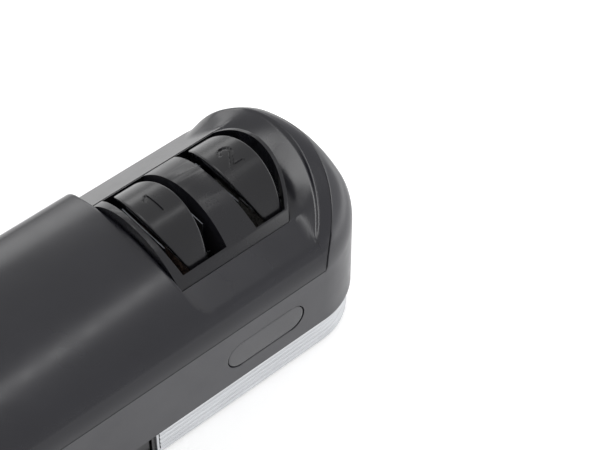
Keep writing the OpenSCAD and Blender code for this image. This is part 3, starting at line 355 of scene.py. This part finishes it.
def make(name, points, faces, material, merge=0.0):
    """Mesh object from points in millimetres, with those closer than merge welded."""
    mesh = bpy.data.meshes.new(name)
    mesh.from_pydata((np.asarray(points, float) * MM).tolist(), [], [list(map(int, f)) for f in faces])
    obj = bpy.data.objects.new(name, mesh)
    scene.collection.objects.link(obj)
    mesh.materials.append(MATERIALS[material])
    bm = bmesh.new()
    bm.from_mesh(mesh)
    if merge:
        bmesh.ops.remove_doubles(bm, verts=bm.verts, dist=merge * MM)
    bmesh.ops.delete(bm, geom=[v for v in bm.verts if not v.link_faces], context="VERTS")
    bmesh.ops.recalc_face_normals(bm, faces=bm.faces)
    bm.to_mesh(mesh)
    bm.free()
    mesh.shade_smooth()
    return obj


def flip_if(obj, direction, at):
    """Turns the faces round if the one nearest to a point looks the wrong way."""
    mesh = obj.data
    near = min(mesh.polygons, key=lambda p: (p.center - Vector(at) * MM).length)
    if near.normal.dot(Vector(direction)) < 0:
        mesh.flip_normals()


def rim(obj, toward, depth, edge):
    """Turns the open edges inward by depth, the way toward(point) says, and rounds them by edge."""
    bm = bmesh.new()
    bm.from_mesh(obj.data)
    edges = [e for e in bm.edges if e.is_boundary]
    out = bmesh.ops.extrude_edge_only(bm, edges=edges)["geom"]
    for v in [g for g in out if isinstance(g, bmesh.types.BMVert)]:
        p = np.array(v.co) / MM
        v.co += Vector(toward(p)).normalized() * depth * MM
    bmesh.ops.bevel(bm, geom=edges, offset=edge * MM, segments=2, profile=0.5, affect="EDGES",
                    clamp_overlap=True)
    bm.to_mesh(obj.data)
    bm.free()
    obj.data.shade_smooth()


def cut_outline(points, faces, outline):
    """Moves the vertices of quads next to an outline onto it, and drops the faces inside it.
    outline(points) gives each point's distance outside."""
    points = points.copy()
    s = outline(points)
    near = np.zeros(len(points), bool)
    for a, b in ((0, 1), (1, 2), (2, 3), (3, 0)):
        p, q = faces[:, a], faces[:, b]
        cross = (s[p] > 0) != (s[q] > 0)
        p, q = p[cross], q[cross]
        near[np.where(np.abs(s[p]) < np.abs(s[q]), p, q)] = True
    step = 0.02
    grad = np.zeros((near.sum(), 3))
    for axis in range(3):
        move = np.zeros(3)
        move[axis] = step
        grad[:, axis] = (outline(points[near] + move) - outline(points[near] - move)) / (2 * step)
    grad /= np.maximum(np.linalg.norm(grad, axis=1), 1e-6)[:, None]
    points[near] -= s[near, None] * grad
    value = np.where(near, 0.0, s)
    kept = []
    for f, v in zip(faces, value[faces]):
        if (v >= 0).all():
            kept.append(f)
        elif (v > 0).any():
            if v[0] == 0 and v[2] == 0 or not (v[1] == 0 and v[3] == 0):
                parts = ((0, 1, 2), (0, 2, 3))
            else:
                parts = ((1, 2, 3), (1, 3, 0))
            kept += [f[list(t)] for t in parts if v[list(t)].sum() > 0]
    return points, kept


def round_edges(obj, width, segments, angle):
    """Bevel modifier on edges sharper than an angle in degrees."""
    bevel = obj.modifiers.new("edges", "BEVEL")
    bevel.width = width * MM
    bevel.segments = segments
    bevel.limit_method = "ANGLE"
    bevel.angle_limit = math.radians(angle)
    return bevel


def dressed(name, node, material, body_name, bevel, segments, angle):
    """A clean copy of a CAD node: welded, planar faces joined, edges rounded."""
    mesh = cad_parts[node].data.copy()
    obj = bpy.data.objects.new(name, mesh)
    scene.collection.objects.link(obj)
    mesh.materials.clear()
    mesh.materials.append(MATERIALS[material])
    bm = bmesh.new()
    bm.from_mesh(mesh)
    bmesh.ops.remove_doubles(bm, verts=bm.verts, dist=0.01 * MM)
    bmesh.ops.dissolve_limit(bm, angle_limit=math.radians(0.5), verts=bm.verts, edges=bm.edges)
    bm.to_mesh(mesh)
    bm.free()
    mesh.shade_smooth()
    round_edges(obj, bevel, segments, angle).harden_normals = True
    mesh.set_sharp_from_angle(angle=math.radians(angle))
    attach(obj, body_name)
    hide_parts(node)


# ---------------------------------------------------------------- top cover

def seam_y(x, front, grow):
    """Where in y the crossing seam lies at a station, or FAR where the cover reaches the side."""
    x = abs(x)
    side, r = (-1, SEAM_FRONT_R) if front else (1, SEAM_BACK_R)
    centre, r = SEAM_TIP - r, r + grow
    if x <= centre:
        return side * FAR
    return SEAM_Y + side * math.sqrt(max(r * r - (x - centre) ** 2, 0))


def insert_outline(p):
    """Distance outside the hole for the guides' insert, in plan."""
    x, y = p[:, 0], p[:, 1]
    arc = np.hypot(x - INSERT_X, y - INSERT_Y) - INSERT_R
    return np.maximum(np.maximum(RECESS_X - x, np.abs(y) - INSERT_HALF), arc)


def build_top_cover():
    """Rays from the line inside the body, out to the cover's surface, station by station."""
    tip = SEAM_TIP - SEAM_GAP / 2
    # Stations lie closer together where the ends round off and along the recess
    quarter = np.linspace(0, np.pi / 2, 12)
    stations = np.concatenate([
        -tip + 4 * (1 - np.cos(quarter))[:-1], np.linspace(-tip + 4, -88, 46)[:-1],
        np.linspace(-88, 34, 40)[:-1], np.linspace(34, 39.2, 10)[:-1],
        [39.2, 39.35, 39.5, 39.62, 39.8, 40.1], np.linspace(40.5, 121, 230), tip - 2.6 * np.cos(quarter)[1:]])
    stations = np.clip(stations, -tip + 1e-4, tip - 1e-4)
    cols = 320
    low_z = SEAM_Z + SEAM_GAP / 2
    ends = []
    for front, side in ((True, -1), (False, 1)):
        y = np.array([seam_y(x, front, -SEAM_GAP / 2) for x in stations])
        on_wall = np.abs(y) > HALF_DEPTH - 0.01
        z = height(body, stations, np.where(on_wall, 0.0, y))
        on_wall |= z < low_z
        ends.append(np.where(on_wall, np.arctan2(low_z - CORE_Z, side * HALF_DEPTH),
                             np.arctan2(z - CORE_Z, y)))
    t = np.linspace(0, 1, cols)[None, :]
    angle = ends[0][:, None] * (1 - t) + ends[1][:, None] * t
    x, zero = np.repeat(stations[:, None], cols, 1), np.zeros_like(angle)
    p = along(cover, x, zero, zero + CORE_Z, zero, np.cos(angle), np.sin(angle), 5, 75)
    points, faces = cut_outline(p.reshape(-1, 3), grid_faces(len(stations), cols), insert_outline)
    obj = make("top_cover_shell", points, faces, "dome_plastic", merge=0.01)
    flip_if(obj, (0, 0, 1), (0, 0, 68))

    def toward(q):
        by_insert = insert_outline(q[None])[0] < 1.0 and q[2] > 50
        return (0, 0, -1) if by_insert else (0, -q[1], CORE_Z - q[2])

    rim(obj, toward, LIP_DEPTH, 0.3)
    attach(obj, "housing")
    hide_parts("top_cover")


# ---------------------------------------------------------------- lower housing

def perimeter(inset, steps):
    """Points on the plan outline, from the middle of the front round by the right end and the back, and the
    directions outward; steps are the places in x along the straight sides."""
    split = math.atan2(CORNER_Y, CORNER_X - END_X)
    corner, end = CORNER_R - inset, END_R - inset
    quarter = [(x, -(HALF_DEPTH - inset), 0, -1) for x in steps if x <= CORNER_X]
    for t in np.linspace(-math.pi / 2, -split, 40)[1:]:
        dx, dy = math.cos(t), math.sin(t)
        quarter.append((CORNER_X + corner * dx, -CORNER_Y + corner * dy, dx, dy))
    for t in np.linspace(-split, 0, 20)[1:]:
        dx, dy = math.cos(t), math.sin(t)
        quarter.append((END_X + end * dx, end * dy, dx, dy))
    quarter = np.array(quarter)
    back = quarter[::-1][1:] * [1, -1, 1, -1]
    right = np.vstack([quarter, back])
    left = right[::-1] * [-1, 1, -1, 1]
    return np.vstack([right, left[1:-1]])


def badge_outline(q):
    """Distance outside the badge's seat in the front wall."""
    beyond = np.maximum(np.abs(q[:, 0] - BADGE_X) - BADGE_RUN, 0)
    out = np.hypot(beyond, q[:, 2] - BADGE_Z) - BADGE_R - BADGE_GAP
    return np.where(q[:, 1] < -40, out, FAR)


def inlet_outline(q):
    """Distance outside the cord inlet in the back wall."""
    out = np.hypot(q[:, 0] - INLET_X, q[:, 2] - INLET_Z) - INLET_R
    return np.where(q[:, 1] > 40, out, FAR)


def wall_openings(q):
    return np.minimum(badge_outline(q), inlet_outline(q))


def end_caps(ring, top_of_wall):
    """Rows of points from the wall's top up to the crossing seam, on rays from the seam arc's own centre.
    Where there is no cap they stay on the wall."""
    rows = 30
    x, y = ring[:, 0], ring[:, 1]
    seam_r = np.where(y < SEAM_Y, SEAM_FRONT_R, SEAM_BACK_R)
    centre = (SEAM_TIP - seam_r) * np.sign(x + 1e-9)
    r = seam_r + SEAM_GAP / 2
    dx, dy = x - centre, y - SEAM_Y
    reach = np.hypot(dx, dy)
    capped = (np.abs(x) > np.abs(centre)) & (reach > r + 0.02)
    dx, dy = dx / reach, dy / reach
    seam_top = height(body, np.where(capped, centre + dx * r, 0.0), np.where(capped, SEAM_Y + dy * r, 0.0))
    low = np.arctan2(top_of_wall[0, 2] - CORE_Z, reach)
    high = np.where(capped, np.maximum(np.arctan2(seam_top - CORE_Z, r), low), low)
    t = np.linspace(0, 1, rows + 1)[1:, None]
    angle = low * (1 - t) + high * t
    one = np.ones_like(angle)
    cap = along(body, centre * one, SEAM_Y * one, CORE_Z * one,
                dx * np.cos(angle), dy * np.cos(angle), np.sin(angle), 5, 90)
    return np.where(capped[None, :, None], cap, top_of_wall[None])


def build_lower_housing():
    # Points lie closer together round the badge and the cord inlet, in x and in z
    by_badge = 43.6 + np.arange(84) * 0.5
    by_inlet = np.linspace(84, CORNER_X, 24)
    steps = np.concatenate([np.linspace(0, 42, 22), by_badge, [86.5, 88, 90, 92, 94, CORNER_X], by_inlet])
    ring = perimeter(0, np.unique(np.round(steps, 3)))
    levels = np.concatenate([[WALL_START], np.linspace(17, 22, 6), np.linspace(22.5, 39.5, 35),
                             np.linspace(40.5, SEAM_Z - SEAM_GAP / 2, 8)])
    wall = np.stack([np.column_stack([ring[:, :2], np.full(len(ring), z)]) for z in levels])
    p = np.concatenate([wall, end_caps(ring, wall[-1])], 0)
    faces = grid_faces(len(p), len(ring), closed=True)
    points, kept = cut_outline(p.reshape(-1, 3), faces, wall_openings)
    # Where there is no cap the rows fall together, and their faces are dropped
    kept = [f for f in kept if len(set(map(tuple, np.round(points[list(f)], 4)))) > 2]
    obj = make("lower_housing_shell", points, kept, "housing_plastic", merge=0.004)
    flip_if(obj, (0, -1, 0), (0, -HALF_DEPTH, 30))

    def toward(q):
        if wall_openings(q[None])[0] < 0.5:
            return 0, -np.sign(q[1]), 0
        return -q[0] * 0.2, -q[1], CORE_Z - q[2]

    rim(obj, toward, LIP_DEPTH, 0.28)
    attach(obj, "housing")
    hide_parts("lower_housing")


# ---------------------------------------------------------------- silver band

def build_band():
    """Flat ribs with rounded edges between narrow grooves, open where the switch sits."""
    low, high = BAND_LOW, BAND_HIGH
    inset, groove, count = 1.5, 0.35, 5
    step = (high - low) / (count + 1)
    # Pairs of a height and how deep the band lies there
    profile = [(low, 0.9), (low + 0.02, 0.5), (low + 0.35, 0.4), (low + 0.55, 0.4), (low + 0.75, 0.02)]
    for i in range(1, count + 1):
        c = low + i * step
        profile += [(c - 0.8, 0.0), (c - 0.5, 0.04), (c - 0.22, groove)]
        profile += [(c + 0.22, groove), (c + 0.5, 0.04), (c + 0.8, 0.0)]
    profile += [(high - 0.3, 0.02), (high - 0.02, 0.35), (high, 0.9)]
    steps = np.unique(np.concatenate([np.linspace(0, 90, 46), [SWITCH_HALF, SWITCH_HALF + 0.001, CORNER_X]]))
    rings = []
    for z, deep in profile:
        ring = perimeter(inset + deep, steps)
        rings.append(np.column_stack([ring[:, :2], np.full(len(ring), z)]))
    p = np.stack(rings)
    faces = grid_faces(len(p), p.shape[1], closed=True)
    points = p.reshape(-1, 3)
    middle = points[faces].mean(1)
    faces = faces[~((np.abs(middle[:, 0]) < SWITCH_HALF) & (middle[:, 1] < 0))]
    obj = make("silver_band", points, faces, "band_silver")
    flip_if(obj, (0, -1, 0), (40, -44.5, 2))
    obj.data.set_sharp_from_angle(angle=math.radians(55))
    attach(obj, "housing")
    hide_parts("trim_band")


# ---------------------------------------------------------------- badge

def build_badge():
    """Bare pill-shaped plate, gently crowned, with a rolled edge."""
    r = BADGE_R - 0.05
    half_turn = np.linspace(-math.pi / 2, math.pi / 2, 48)
    # The pill's points, each with the centre of the end that it belongs to
    centre = np.concatenate([side * BADGE_RUN * np.ones(len(half_turn)) for side in (1, -1)])
    round_x = np.concatenate([side * np.cos(half_turn) * r for side in (1, -1)])
    round_z = np.concatenate([side * np.sin(half_turn) * r for side in (1, -1)])
    # Pairs of a share of the radius and how far out the plate stands there
    profile = [(1.0, -1.0), (1.0, -0.25), (0.985, -0.1), (0.955, 0.0),
               (0.85, 0.02), (0.6, 0.05), (0.3, 0.07), (0.02, 0.08)]
    rings = []
    for share, out in profile:
        x, z = BADGE_X + centre + round_x * share, BADGE_Z + round_z * share
        rings.append(np.column_stack([x, np.full(len(x), -HALF_DEPTH + 0.15 - out), z]))
    p = np.stack(rings)
    p[..., 1] = np.maximum(p[..., 1], -HALF_DEPTH + 0.02)
    faces = grid_faces(len(p), p.shape[1], closed=True)
    obj = make("badge_pill", p.reshape(-1, 3), faces, "badge_plastic", merge=0.01)
    flip_if(obj, (0, -1, 0), (BADGE_X, -HALF_DEPTH, 33))
    bm = bmesh.new()
    bm.from_mesh(obj.data)
    bmesh.ops.holes_fill(bm, edges=[e for e in bm.edges if e.is_boundary])
    bm.to_mesh(obj.data)
    bm.free()
    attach(obj, "housing")
    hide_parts("badge_plate")


# ---------------------------------------------------------------- guides

DIGIT_X, DIGIT_Y, DIGIT_SCALE = -0.4, 2, 1.1
DIGIT_STROKE, DIGIT_EDGE, DIGIT_DEPTH = 0.7, 0.16, 0.6  # half the stroke's width, its wall's run, its depth
DIGIT_REACH = 9                # no stroke lies further along y from the digit's centre
GUIDE_ARCH_R, GUIDE_SLANT, GUIDE_EDGE = 28.0, math.tan(math.radians(20)), 0.8


def segment_distance(x, y, a, b):
    """Distance from a straight stroke between two points."""
    ax, ay, bx, by = *a, *b
    t = np.clip(((x - ax) * (bx - ax) + (y - ay) * (by - ay)) / ((bx - ax) ** 2 + (by - ay) ** 2), 0, 1)
    return np.hypot(x - ax - t * (bx - ax), y - ay - t * (by - ay))


def digit_distance(digit, x, y):
    """Distance from the strokes of a plain digit 10 mm high."""
    top, bottom = 4.5, -4.6
    if digit == 1:
        strokes = [((0, top), (0, bottom)), ((0, top), (-2.2, 2.4))]
        return np.minimum(*(segment_distance(x, y, a, b) for a, b in strokes))
    r, centre_y, last = 2.2, 2.3, -0.35
    arc = np.where(np.arctan2(y - centre_y, x) > last, np.abs(np.hypot(x, y - centre_y) - r), FAR)
    start = np.hypot(x + r, y - centre_y)
    end = (r * math.cos(last), centre_y + r * math.sin(last))
    slope = segment_distance(x, y, end, (-2.4, bottom))
    foot = segment_distance(x, y, (-2.4, bottom), (2.4, bottom))
    return np.minimum(np.minimum(arc, start), np.minimum(slope, foot))


def build_guide(number, node):
    """Wedge with an arched top, rounded edges and a digit pressed into it."""
    (low_x, high_x), (low_y, high_y), (low_z, top) = (extent(node, axis) for axis in range(3))
    centre_x, centre_y = (low_x + high_x) / 2, (low_y + high_y) / 2
    half_x, half_y = (high_x - low_x) / 2, (high_y - low_y) / 2
    # Grid over the top, closer together towards the edges
    nx, ny = 76, 190
    u, v = np.meshgrid(np.linspace(-1, 1, nx), np.linspace(-1, 1, ny), indexing="ij")
    u, v = np.sin(u * math.pi / 2) * 0.35 + u * 0.65, np.sin(v * math.pi / 2) * 0.3 + v * 0.7
    y = v * half_y
    z = top - GUIDE_ARCH_R + np.sqrt(np.maximum(GUIDE_ARCH_R ** 2 - y ** 2, 0))
    # The arch narrows the wedge: the slanted faces meet it lower down at the ends
    width = half_x - GUIDE_SLANT * (top - z)
    x = u * width
    gap = np.minimum(width - np.abs(x), half_y - np.abs(y))
    rounded = GUIDE_EDGE - np.sqrt(np.maximum(GUIDE_EDGE ** 2 - (GUIDE_EDGE - gap) ** 2, 0))
    drop = np.where(gap < GUIDE_EDGE, rounded, 0)
    away = digit_distance(number, (x - DIGIT_X) / DIGIT_SCALE, (y - DIGIT_Y) / DIGIT_SCALE) * DIGIT_SCALE
    depth = np.clip((DIGIT_STROKE - away) / DIGIT_EDGE + 0.5, 0, 1)
    z = z - drop - DIGIT_DEPTH * depth * (np.abs(y - DIGIT_Y) < DIGIT_REACH)
    points = np.stack([centre_x + x, centre_y + y, z], -1).reshape(-1, 3)
    faces = [list(f) for f in grid_faces(nx, ny)]
    # Skirt down the slanted sides and the ends
    border = [i * ny for i in range(nx)] + [(nx - 1) * ny + j for j in range(1, ny)]
    border += [i * ny + ny - 1 for i in range(nx - 2, -1, -1)] + list(range(ny - 2, 0, -1))
    base = low_z + 0.02
    bottom = half_x - GUIDE_SLANT * (top - base)
    skirt = points[border]
    skirt[:, 0] = centre_x + np.clip(skirt[:, 0] - centre_x, -bottom, bottom)
    skirt[:, 2] = base
    start, count = len(points), len(border)
    for k in range(count):
        after = (k + 1) % count
        faces.append([border[k], border[after], start + after, start + k])
    faces.append([start + k for k in range(count)][::-1])
    obj = make("guide_%d_block" % number, np.vstack([points, skirt]), faces, "guide_plastic", merge=0.003)
    flip_if(obj, (0, 0, 1), (centre_x + 5, centre_y, top))
    obj.data.set_sharp_from_angle(angle=math.radians(48))
    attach(obj, "housing")
    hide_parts(node)


# ---------------------------------------------------------------- make everything

build_top_cover()
build_lower_housing()
build_band()
build_badge()
build_guide(1, "guide_1")
build_guide(2, "guide_2")
# Piece, CAD node, material, body, bevel in mm, its segments and least angle
dressed("insert_frame", "guide_insert", "insert_plastic", "housing", 0.22, 2, 35)
dressed("switch_bezel", "switch_frame", "band_silver", "housing", 0.3, 3, 30)
dressed("switch_surround", "switch_body", "switch_black", "housing", 0.15, 2, 30)
dressed("switch_key", "switch_rocker", "switch_black", "rocker", 0.5, 4, 20)
dressed("cord_gland", "cord_bushing", "rubber_black", "housing", 0.5, 3, 30)
dressed("feet_pads", "rubber_feet", "rubber_black", "housing", 0.4, 3, 30)
dressed("base_tray", "base_plate", "inner_plastic", "housing", 0.25, 2, 35)
for i in range(1, 5):
    node = "blade_spring_%d" % i
    dressed("leaf_%d" % i, node, "spring_steel", node + "_leaf", 0.1, 1, 40)

# CAD nodes that keep their solid; those not named here are steel
FINISH = {node: material for material, nodes in (
    ("coarse_abrasive", "coarse_wheel"),
    ("fine_abrasive", "fine_wheel"),
    ("bronze", "wheel_bushes motor_bushes"),
    ("die_cast", "left_pedestal right_pedestal front_bracket rear_bracket"),
    ("rubber_black", "shaft_coupling"),
    ("laminations", "armature_core stator_core"),
    ("copper", "armature_windings commutator field_coils"),
    ("white_plastic", "cooling_fan terminal_block"),
    ("brass", "brush_holders switch_terminals"),
    ("carbon", "carbon_brushes"),
    ("inner_plastic", "cord_clamp"),
) for node in nodes.split()}
for name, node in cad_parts.items():
    if node.hide_render:
        continue
    node.data.materials.clear()
    node.data.materials.append(MATERIALS[FINISH.get(name, "steel")])
    round_edges(node, 0.15, 1, 40)

# ---------------------------------------------------------------- floor and light

FLOOR_HALF = 3.0               # metres
FLOOR_GLOW = 0.36              # makes the lit floor white to the camera and to glossy rays
WORLD_LEVEL = 0.62             # light on the object; the camera and glossy rays see 1, which is white


def seen_rays(tree):
    """Output that is 1 for camera and glossy rays and 0 for the rest."""
    path = tree.nodes.new("ShaderNodeLightPath")
    seen = tree.nodes.new("ShaderNodeMath")
    seen.operation = "MAXIMUM"
    tree.links.new(path.outputs["Is Camera Ray"], seen.inputs[0])
    tree.links.new(path.outputs["Is Glossy Ray"], seen.inputs[1])
    return seen.outputs[0]


corners = [(-FLOOR_HALF, -FLOOR_HALF, 0), (FLOOR_HALF, -FLOOR_HALF, 0),
           (FLOOR_HALF, FLOOR_HALF, 0), (-FLOOR_HALF, FLOOR_HALF, 0)]
floor_mesh = bpy.data.meshes.new("floor")
floor_mesh.from_pydata(corners, [], [(0, 1, 2, 3)])
floor = bpy.data.objects.new("floor", floor_mesh)
scene.collection.objects.link(floor)
n = Nodes("floor_white")
n.shader.inputs["Roughness"].default_value = 0.9
n.colour(n.noise(3, 2), [(0.3, (0.9, 0.9, 0.9)), (0.7, (0.92, 0.92, 0.92))])
glow = n.add("ShaderNodeMath", operation="MULTIPLY")
glow.inputs[1].default_value = FLOOR_GLOW
n.join(seen_rays(n.tree), glow.inputs[0])
n.shader.inputs["Emission Color"].default_value = (1, 1, 1, 1)
n.join(glow.outputs[0], n.shader.inputs["Emission Strength"])
floor_mesh.materials.append(n.material)

world = bpy.data.worlds.new("studio")
scene.world = world
world.use_nodes = True
tree = world.node_tree
background = tree.nodes["Background"]
level = tree.nodes.new("ShaderNodeMapRange")
level.inputs["To Min"].default_value = WORLD_LEVEL
level.inputs["To Max"].default_value = 1.0
tree.links.new(seen_rays(tree), level.inputs["Value"])
tree.links.new(level.outputs["Result"], background.inputs["Strength"])
background.inputs["Color"].default_value = (1, 1, 1, 1)


def area(name, place, target, size, power, mirrored=True):
    """Area lamp at a place, facing a target, which shows in glossy surfaces if mirrored."""
    data = bpy.data.lights.new(name, "AREA")
    data.shape = "RECTANGLE"
    data.size, data.size_y = size
    data.energy = power
    lamp = bpy.data.objects.new(name, data)
    lamp.location = place
    lamp.rotation_euler = (Vector(target) - Vector(place)).to_track_quat("-Z", "Y").to_euler()
    lamp.visible_camera = False
    lamp.visible_glossy = mirrored
    scene.collection.objects.link(lamp)


# Key for the recess's right wall, soft fill, a narrow lamp for the line along the dome, one for the right end
# and one for the guides' backs. Powers in watts.
area("key", (-0.42, 0.9, 1.6), (0.05, 0, 0.03), (0.7, 0.7), 8)
area("fill", (0.75, -1.5, 0.45), (0, 0, 0.03), (0.9, 0.5), 10, mirrored=False)
area("streak", (0.23, 0.062, 1.31), (0.0, -0.024, 0.065), (0.08, 0.8), 1.15)
area("edge", (1.22, -0.34, 0.3), (0.08, -0.02, 0.06), (1.6, 0.5), 6)
area("back", (0.5, 1.2, 0.45), (0.05, 0, 0.06), (1.0, 0.3), 2)
